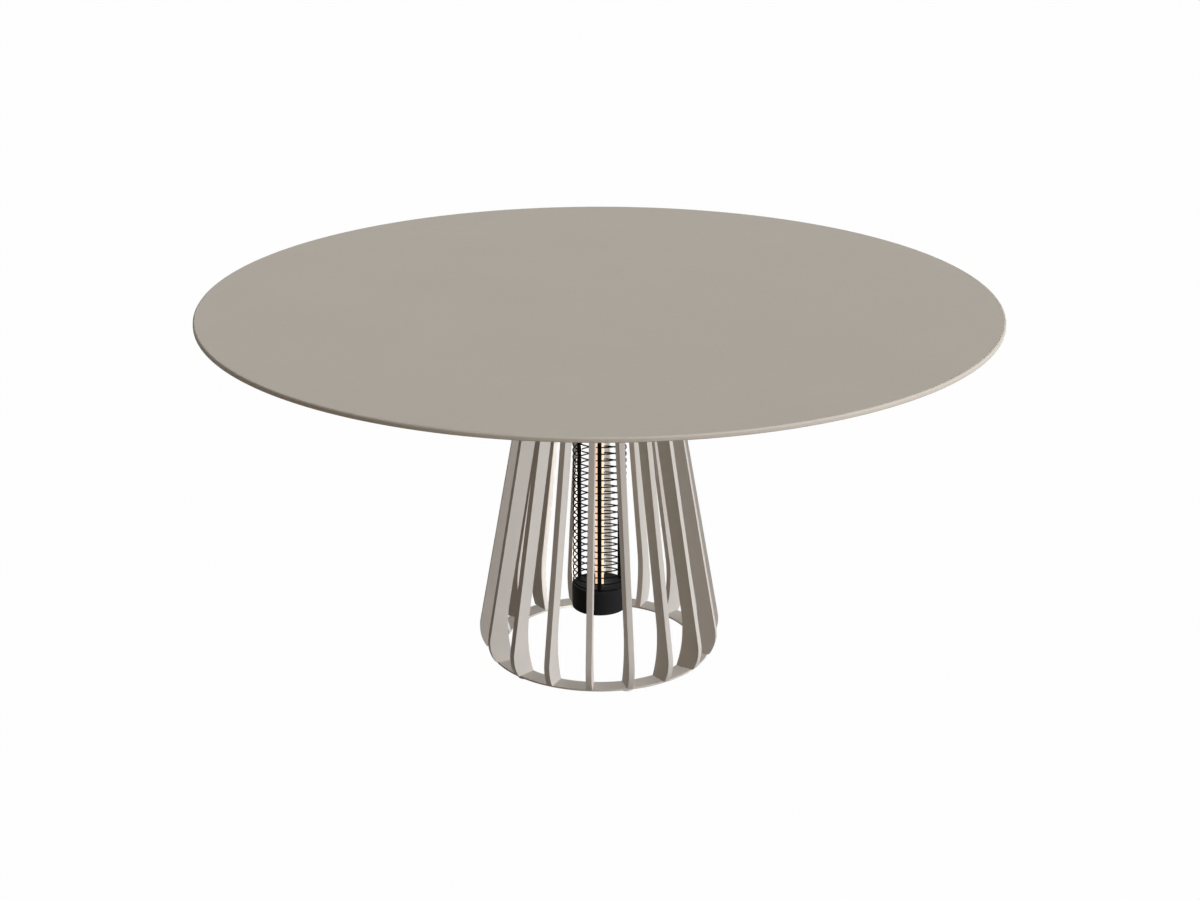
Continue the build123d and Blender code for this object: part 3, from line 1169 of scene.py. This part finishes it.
@dataclass
class WireGuard:
    """The guard round the lamp: upright rods, and one wire wound up round them."""

    rod_count: int = 3
    rod_radius: float = 0.0042
    rod_circle: float = 0.0483
    rod_seat: float = 0.006
    rod_easing: float = 0.0005
    rod_segments: int = 32
    wire_radius: float = 0.00135
    wire_circle: float = 0.05429
    wire_turns: int = 33
    wire_start: float = 41.0
    wire_bend: float = 0.0026
    wire_seat: float = 0.003
    wire_sides: int = 12
    wire_steps: int = 60
    wire_smoothing: float = 60.0
    bend_steps: int = 8

    def build(self, finishes: Finishes) -> None:
        """Model the rods and the wire, and dress them."""
        dress(self.rods(), finishes.guard_black, TABLE, "black_guard", "guard_rods")
        dress(self.winding(), finishes.guard_black, TABLE, "black_guard", "guard_wire")

    def rods(self) -> Object:
        """Model the upright rods, each end of which is let into a cap.

        Returns:
            The rods, as one piece.
        """
        low, high = CAP_TOP - self.rod_seat, HOUSING_BOTTOM + self.rod_seat
        rod = turned("rod", [(self.rod_radius, low), (self.rod_radius, high)], self.rod_segments)
        soften(rod, self.rod_easing)
        rod.location = (self.rod_circle, 0, 0)
        settle(rod)
        shade(rod)
        return circle_of(rod, "guard_rod_set", self.rod_count)

    def span(self) -> Range:
        """Find the heights at which the winding starts and ends.

        Returns:
            The two heights.
        """
        end = self.wire_bend + self.tail()
        low = CAP_TOP - self.wire_seat + end
        return low, HOUSING_BOTTOM + self.wire_seat - end

    def tail(self) -> float:
        """The length of the straight bit after the wire's bend."""
        return 2 * self.wire_radius

    def wire_ends(self) -> tuple[Point, Point]:
        """Find where the wire's two bent ends stand in the caps.

        Returns:
            The lower end's place and the upper end's, at floor height.
        """
        turn = heading(self.wire_start)
        along = Vector((math.sin(turn), -math.cos(turn), 0)) * self.wire_bend
        start = Vector(spread(self.wire_circle, self.wire_start, 0))
        return tuple(start - along), tuple(start + along)

    def winding(self) -> Object:
        """Model a round wire wound clockwise up the rods, with its ends bent into the caps.

        Returns:
            The wire.
        """
        low, high = self.span()
        clear_selection()
        bpy.ops.mesh.primitive_circle_add(
            vertices=self.wire_sides,
            radius=self.wire_radius,
            location=spread(self.wire_circle, self.wire_start, low),
            rotation=(math.pi / 2, 0, heading(self.wire_start)),
        )
        wire = bpy.context.object
        wire.name = "guard_winding"
        settle(wire)
        rise = (high - low) / self.wire_turns
        wind(wire, rise, self.wire_turns, self.wire_steps, turn=-2 * math.pi)
        edit(wire)
        self.bend_end(wire, low, Sense.DOWN)
        self.bend_end(wire, high, Sense.UP)
        close_edit()
        shade(wire, self.wire_smoothing)
        return wire

    def bend_end(self, wire: Object, level: float, sense: Sense) -> None:
        """Bend one end of the winding into its cap.

        Args:
            wire: The winding, open in edit mode.
            level: The height of the end.
            sense: The way to the cap.
        """
        end = Vector(spread(self.wire_circle, self.wire_start, level))
        pick(wire, Pick.VERTEX, lambda point: (point - end).length < 2 * self.wire_radius)
        centre = end + Vector((0, 0, sense.value * self.wire_bend))
        axis = spread(1, self.wire_start, 0)
        bpy.ops.mesh.spin(steps=self.bend_steps, angle=-math.pi / 2, center=centre, axis=axis)
        extrude((0, 0, sense.value * self.tail()))
        bpy.ops.mesh.edge_face_add()


@dataclass
class Lamp:
    """The infrared lamp: a clear tube, and a glowing element wound closely up inside it.

    The element's crown lies proud of its shoulders, which start at a share of its pitch.
    """

    radius: float = 0.011
    wall: float = 0.0012
    seat: float = 0.0125
    end_easing: float = 0.0003
    segments: int = 64
    core_radius: float = 0.0088
    coil_pitch: float = 0.0035
    coil_groove: float = 0.0006
    coil_crown: float = 0.0001
    coil_shoulder: float = 0.2
    coil_steps: int = 40

    def build(self, finishes: Finishes) -> None:
        """Model the tube and the element, and dress them."""
        dress(self.tube(), finishes.lamp_glass, TABLE, "lamp_glass", "lamp_tube")
        dress(self.element(), finishes.glow, TABLE, "glowing_core", "heating_core")

    def span(self) -> Range:
        """The heights of the lamp's two ends."""
        reach = HEATER_END_WALL + self.seat
        return CAP_TOP - reach, HOUSING_BOTTOM + reach

    def tube(self) -> Object:
        """Model the clear tube.

        Returns:
            The tube.
        """
        low, high = self.span()
        outer, inner = self.radius, self.radius - self.wall
        corners = [(outer, low), (outer, high), (inner, high), (inner, low)]
        tube = turned("lamp_clear_tube", corners + corners[:1], self.segments)
        soften(tube, self.end_easing)
        shade(tube)
        return tube

    def element(self) -> Object:
        """Model the element as a wound band with a fine groove between its turns.

        Returns:
            The element.
        """
        groove = self.core_radius - self.coil_groove
        shoulder = self.core_radius - self.coil_crown
        shares = [
            (groove, 0.0), (shoulder, self.coil_shoulder), (self.core_radius, 0.5),
            (shoulder, 1 - self.coil_shoulder), (groove, 1.0),
        ]
        band = [(radius, share * self.coil_pitch) for radius, share in shares]
        element = wound("lamp_element", band, self.coil_pitch, self.span(), self.coil_steps)
        shade(element)
        return element


@dataclass
class CableGland:
    """The gland in the housing's wall: a hexagon, a domed cap with a round mouth, and a tail.

    Distances are out from the heater's axis. The dome is given point by point, as how far each
    lies in from the cap's side and back from its end.
    """

    angle: float = 185.0
    height: float = 0.690
    inlet_radius: float = 0.0062
    inlet_span: Range = (0.049, 0.060)
    flats: float = 0.017
    hexagon_thickness: float = 0.005
    hexagon_easing: float = 0.0005
    mouth: float = 0.0035
    tail: float = 0.006
    tail_end: float = 0.0491
    cap_radius: float = 0.007
    cap_reach: float = 0.014
    cap_bite: float = 0.0005
    dome: Profile = ((0.0, 0.0030), (0.0004, 0.0016), (0.0013, 0.0005), (0.0024, 0.0))
    segments: int = 48

    def build(self, finishes: Finishes) -> None:
        """Model the gland and dress it."""
        dress(self.body(), finishes.black_plastic, TABLE, "black_plastic", "cable_gland")

    def laid(self, piece: Object) -> Object:
        """Lay a piece that is drawn along Z level, pointing out where the cable comes in.

        Args:
            piece: The piece to lay.

        Returns:
            The same piece.
        """
        piece.rotation_euler = (0, math.pi / 2, heading(self.angle))
        piece.location = (0, 0, self.height)
        settle(piece)
        return piece

    def inlet(self) -> Object:
        """The cutter for the gland's hole in the housing."""
        ends = [(self.inlet_radius, distance) for distance in self.inlet_span]
        return self.laid(turned("inlet", ends, self.segments))

    def body(self) -> Object:
        """Model the gland.

        Returns:
            The gland.
        """
        wall, corner = HEATER_RADIUS, self.flats / math.sqrt(3)
        hexagon_end, cap_end = wall + self.hexagon_thickness, wall + self.cap_reach
        hexagon = turned("gland", [(corner, wall), (corner, hexagon_end)], 6, math.pi / 2)
        soften(hexagon, self.hexagon_easing)
        profile = [(self.mouth, self.tail_end), (self.tail, self.tail_end), (self.tail, wall)]
        profile += [(self.cap_radius, wall)]
        profile += [(self.cap_radius - inwards, cap_end - back) for inwards, back in self.dome]
        profile += [(self.mouth, cap_end), (self.mouth, self.tail_end)]
        barrel = turned("gland_cap", profile, self.segments)
        hole = self.cap_radius - self.cap_bite
        low, high = wall - CUT_MARGIN, hexagon_end + CUT_MARGIN
        bore(hexagon, pin(hole, (0, 0, 0), low, high, self.segments))
        body = self.laid(joined([hexagon, barrel], "gland_body"))
        shade(body)
        return body


@dataclass
class Heater:
    """The infrared heater: a lower cap and an upper housing, with guard and lamp between them."""

    cap_bottom: float = 0.092
    rounding: float = 0.003
    rounding_steps: int = 6
    eased_edge: float = 0.0006
    segments: int = 128
    housing_wall: float = 0.003
    flange_radius: float = 0.080
    screw_count: int = 3
    screw_phase: float = 65.0
    screw_hole: float = 0.0029
    screw_bite: float = 0.005
    holder_radius: float = 0.018
    plug_thickness: float = 0.003
    plug_segments: int = 96
    seat_clearance: float = 0.0002
    guard: WireGuard = field(default_factory=WireGuard)
    lamp: Lamp = field(default_factory=Lamp)
    gland: CableGland = field(default_factory=CableGland)

    def build(self, finishes: Finishes) -> None:
        """Model the heater's pieces and dress them.

        Args:
            finishes: The table's finishes.
        """
        dress(self.cap(), finishes.black_coat, TABLE, "black_casting", "lower_cap")
        dress(self.plug(), finishes.black_coat, TABLE, "black_casting", "lower_plug")
        dress(self.housing(), finishes.black_coat, TABLE, "black_casting", "heater_housing")
        self.guard.build(finishes)
        self.lamp.build(finishes)
        self.gland.build(finishes)
        screw = ButtonScrew(
            shank=0.005, head=0.009, head_height=0.003, socket=0.003, socket_depth=0.0017,
            seat=FLANGE_UNDERSIDE, tip=HUB_UNDERSIDE + self.screw_bite,
        )
        circle, count = self.screw_circle(), self.screw_count
        screws = screw.ring("flange_screw_set", circle, count, self.screw_phase)
        dress(screws, finishes.zinc, TABLE, "plain_steel", "heater_screws")
        inside = {
            "upper_lamp_holder": finishes.ceramic,
            "lower_lamp_holder": finishes.ceramic,
            "terminal_block": finishes.black_plastic,
            "gland_nut": finishes.black_plastic,
        }
        for name, material in inside.items():
            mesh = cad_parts[name].data
            mesh.materials.clear()
            mesh.materials.append(material)

    def screw_circle(self) -> float:
        """The distance of the flange's screws from the table's axis."""
        return (HEATER_RADIUS + self.flange_radius) / 2

    def seats(self, face: float, sense: Sense, wire_end: Point) -> list[Object]:
        """Make what is cut into a cap's face for the lamp, the rods and the wire's bent end.

        Args:
            face: The height of the face.
            sense: The way from the face into the cap.
            wire_end: Where the wire's bent end stands.

        Returns:
            The cutters.
        """
        def cut(radius: float, centre: Point, depth: float) -> Object:
            """One round cutter from just outside the face to a depth."""
            ends = sorted((face - sense.value * CUT_MARGIN, face + sense.value * depth))
            return pin(radius + self.seat_clearance, centre, *ends)

        guard = self.guard
        cutters = [cut(self.lamp.radius, (0, 0, 0), HEATER_END_WALL + CUT_MARGIN)]
        for angle in around(guard.rod_count):
            place = spread(guard.rod_circle, angle, 0)
            cutters.append(cut(guard.rod_radius, place, guard.rod_seat))
        cutters.append(cut(guard.wire_radius, wire_end, guard.wire_seat))
        return cutters

    def cap(self) -> Object:
        """Model the lower cap: a turned block with rounded edges and a pocket below.

        Returns:
            The cap.
        """
        pocket = self.holder_radius + self.seat_clearance
        profile = [
            (pocket, CAP_TOP - HEATER_END_WALL), (pocket, self.cap_bottom),
            (HEATER_RADIUS, self.cap_bottom), (HEATER_RADIUS, CAP_TOP),
        ]
        cap = turned("heater_cap", profile, self.segments)
        for level in (self.cap_bottom, CAP_TOP):
            round_circle(cap, HEATER_RADIUS, level, self.rounding, self.rounding_steps)
        soften(cap, self.eased_edge)
        lower_end, _ = self.guard.wire_ends()
        bore(cap, *self.seats(CAP_TOP, Sense.DOWN, lower_end))
        shade(cap)
        return cap

    def plug(self) -> Object:
        """Model the round plug that closes the cap's pocket.

        Returns:
            The plug.
        """
        levels = (self.cap_bottom, self.cap_bottom + self.plug_thickness)
        edge = [(self.holder_radius, level) for level in levels]
        plug = turned("heater_cap_plug", edge, self.plug_segments)
        soften(plug, self.eased_edge)
        shade(plug)
        return plug

    def housing(self) -> Object:
        """Model the upper housing: a cup with an out-turned flange.

        Returns:
            The housing.
        """
        inside = HEATER_RADIUS - self.housing_wall
        profile = [
            (HEATER_RADIUS, HOUSING_BOTTOM), (HEATER_RADIUS, FLANGE_UNDERSIDE),
            (self.flange_radius, FLANGE_UNDERSIDE), (self.flange_radius, HUB_UNDERSIDE),
            (inside, HUB_UNDERSIDE), (inside, HOUSING_BOTTOM + HEATER_END_WALL),
        ]
        housing = turned("heater_bell", profile, self.segments)
        round_circle(housing, HEATER_RADIUS, HOUSING_BOTTOM, self.rounding, self.rounding_steps)
        soften(housing, self.eased_edge)
        _, upper_end = self.guard.wire_ends()
        bore(housing, *self.seats(HOUSING_BOTTOM, Sense.UP, upper_end))
        low, high = FLANGE_UNDERSIDE - CUT_MARGIN, HUB_UNDERSIDE + CUT_MARGIN
        for angle in around(self.screw_count, self.screw_phase):
            bore(housing, pin(self.screw_hole, spread(self.screw_circle(), angle, 0), low, high))
        bore(housing, self.gland.inlet())
        shade(housing)
        return housing


def add_light(data: Light, place: Point, facing: Vector, is_hidden: bool) -> None:
    """Add a light to the studio.

    Args:
        data: The light's own settings.
        place: Where it stands.
        facing: The way it shines.
        is_hidden: Whether it is kept out of sight of the camera, of gloss and of glass.
    """
    light = bpy.data.objects.new(data.name, data)
    bpy.context.scene.collection.objects.link(light)
    light.location = place
    light.rotation_euler = facing.to_track_quat("-Z", "Y").to_euler()
    if is_hidden:
        light.visible_camera = False
        light.visible_glossy = False
        light.visible_transmission = False


@dataclass(frozen=True)
class SoftLight:
    """One broad, even light of the studio, far enough away to reach every face alike."""

    name: str
    angle: float
    elevation: float
    level: float
    colour: Colour = (1.0, 1.0, 1.0)
    breadth: float = 50.0
    distance: float = 6.0
    shadows: bool = False

    def place(self) -> None:
        """Add the light, aimed at the table."""
        data = bpy.data.lights.new(self.name, "SUN")
        data.angle = math.radians(self.breadth)
        data.color = self.colour
        data.energy = self.level * math.pi
        data.use_shadow = self.shadows
        rise = math.radians(self.elevation)
        out, up = self.distance * math.cos(rise), self.distance * math.sin(rise)
        spot = Vector(spread(out, self.angle, up))
        add_light(data, spot, -spot, is_hidden=False)


@dataclass(frozen=True)
class StripLight:
    """A narrow upright light on the table's axis, which lifts the fins behind the heater."""

    name: str
    angle: float
    height: float
    length: float
    width: float
    power: float
    opening: float

    def place(self) -> None:
        """Add the light out of sight, turned to its angle."""
        data = bpy.data.lights.new(self.name, "AREA")
        data.shape = "RECTANGLE"
        data.size = self.width
        data.size_y = self.length
        data.spread = math.radians(self.opening)
        data.energy = self.power
        data.use_shadow = False
        facing = Vector(spread(1, self.angle, 0))
        add_light(data, (0, 0, self.height), facing, is_hidden=True)


@dataclass(frozen=True)
class GlowLight:
    """The light that the heater's lamp throws, as a row of points up the table's axis."""

    name: str
    low: float
    high: float
    count: int
    power: float
    colour: Colour
    radius: float = 0.008

    def place(self) -> None:
        """Add the points inside the lamp, out of sight."""
        step = (self.high - self.low) / (self.count - 1)
        for index in range(self.count):
            data = bpy.data.lights.new(self.name, "POINT")
            data.shadow_soft_size = self.radius
            data.energy = self.power
            data.color = self.colour
            data.use_shadow = False
            height = self.low + step * index
            add_light(data, (0, 0, height), Vector((0, 0, -1)), is_hidden=True)


@dataclass
class Studio:
    """The camera, the soft light, the pale floor and the white surroundings.

    The surroundings brighten from left to right between two shares of the X axis, and weaken
    towards the zenith between two shares of the Z axis.
    """

    camera_place: Point = (0.0, -4.30162, 2.00224)
    camera_tilt: float = 70.012
    lens: float = 67.27
    sensor: float = 36.0
    shift: Range = (0.0004, -0.0002)
    bright_side: Colour = (0.125, 0.112, 0.096)
    dark_side: Colour = (0.037, 0.031, 0.025)
    bright_range: Range = (-0.50, 0.15)
    zenith: float = 0.8
    zenith_range: Range = (0.2, 0.8)
    floor_radius: float = 16.0
    floor_sides: int = 96
    floor_drop: float = 0.0082
    floor_paper: Colour = (0.28, 0.25, 0.22)
    floor_roughness: float = 0.9
    floor_white: float = 0.985

    def build(self) -> None:
        """Set the stage."""
        bpy.context.scene.view_settings.view_transform = "Standard"
        self.add_camera()
        self.add_world()
        self.add_floor()
        lights = [
            SoftLight(
                "key_light", angle=71.0, elevation=23.0, level=1.54, colour=(0.975, 1.0, 1.065)
            ),
            SoftLight(
                "front_fill", angle=-8.0, elevation=2.0, level=0.125, colour=(1.0, 0.80, 0.63)
            ),
            SoftLight("top_light", angle=0.0, elevation=89.0, level=0.22, shadows=True),
            StripLight(
                "heater_strip", angle=197.0, height=0.26, length=0.50, width=0.01,
                power=0.39, opening=54.0,
            ),
            GlowLight(
                "lamp_glow", low=0.16, high=0.60, count=5, power=0.06, colour=(1.0, 0.94, 0.87)
            ),
        ]
        for light in lights:
            light.place()

    def add_camera(self) -> None:
        """Stand the camera where the photograph was taken."""
        data = bpy.data.cameras.new("camera")
        data.lens = self.lens
        data.sensor_width = self.sensor
        data.sensor_fit = "HORIZONTAL"
        data.shift_x, data.shift_y = self.shift
        camera = bpy.data.objects.new("camera", data)
        bpy.context.scene.collection.objects.link(camera)
        camera.location = self.camera_place
        camera.rotation_euler = (math.radians(self.camera_tilt), 0, 0)
        bpy.context.scene.camera = camera

    def add_world(self) -> None:
        """Add surroundings that are white to the eye and light the table from the right."""
        world = bpy.data.worlds.new("surroundings")
        bpy.context.scene.world = world
        world.use_nodes = True
        wiring = Wiring(world.node_tree)
        axes = wiring.add("ShaderNodeSeparateXYZ")
        wiring.join(wiring.add("ShaderNodeTexCoord").outputs["Generated"], axes.inputs[0])
        side = wiring.add("ShaderNodeMix")
        side.data_type = "RGBA"
        wiring.fill(side, A=(*self.dark_side, 1), B=(*self.bright_side, 1))
        right = wiring.between(axes.outputs["X"], self.bright_range, (0, 1), Blend.SMOOTH)
        wiring.join(right, side.inputs["Factor"])
        room = wiring.add("ShaderNodeBackground")
        wiring.join(side.outputs["Result"], room.inputs["Color"])
        fading = (1, self.zenith)
        height = wiring.between(axes.outputs["Z"], self.zenith_range, fading, Blend.SMOOTH)
        wiring.join(height, room.inputs["Strength"])
        white = wiring.add("ShaderNodeBackground", Color=WHITE)
        shader = wiring.choose(wiring.seen(), room.outputs[0], white.outputs[0])
        wiring.join(shader, wiring.add("ShaderNodeOutputWorld").inputs["Surface"])

    def add_floor(self) -> None:
        """Add a round floor, as low as the feet reach when they are screwed out."""
        clear_selection()
        bpy.ops.mesh.primitive_circle_add(
            vertices=self.floor_sides, radius=self.floor_radius, fill_type="NGON"
        )
        floor = bpy.context.object
        floor.name = "studio_floor"
        floor.location = (0, 0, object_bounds()[0][2] - self.floor_drop)
        settle(floor)
        floor.data.materials.append(self.floor_material())
        floor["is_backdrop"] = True

    def floor_material(self) -> Material:
        """Make pale paper that is nearly white to the eye and keeps a trace of the shadow.

        Returns:
            The material.
        """
        recipe = Recipe("floor_paper")
        paper = (*self.floor_paper, 1)
        recipe.fill(recipe.shader, Base_Color=paper, Roughness=self.floor_roughness)
        white = recipe.add("ShaderNodeEmission", Color=WHITE, Strength=1.0)
        faint = recipe.add("ShaderNodeMath")
        faint.operation = "MULTIPLY"
        faint.inputs[1].default_value = self.floor_white
        recipe.join(recipe.seen(), faint.inputs[0])
        shader = recipe.choose(
            faint.outputs[0], recipe.shader.outputs["BSDF"], white.outputs[0]
        )
        recipe.join(shader, recipe.output.inputs["Surface"])
        return recipe.material


def main() -> None:
    """Build the table piece by piece, then the studio round it."""
    logging.basicConfig(level=logging.INFO, format="%(name)s: %(message)s")
    finishes = Finishes()
    Tabletop().build(finishes)
    UnderFrame().build(finishes)
    FinPedestal().build(finishes)
    FloorRing().build(finishes)
    Feet().build(finishes)
    Heater().build(finishes)
    Studio().build()


if __name__ == "__main__":
    main()
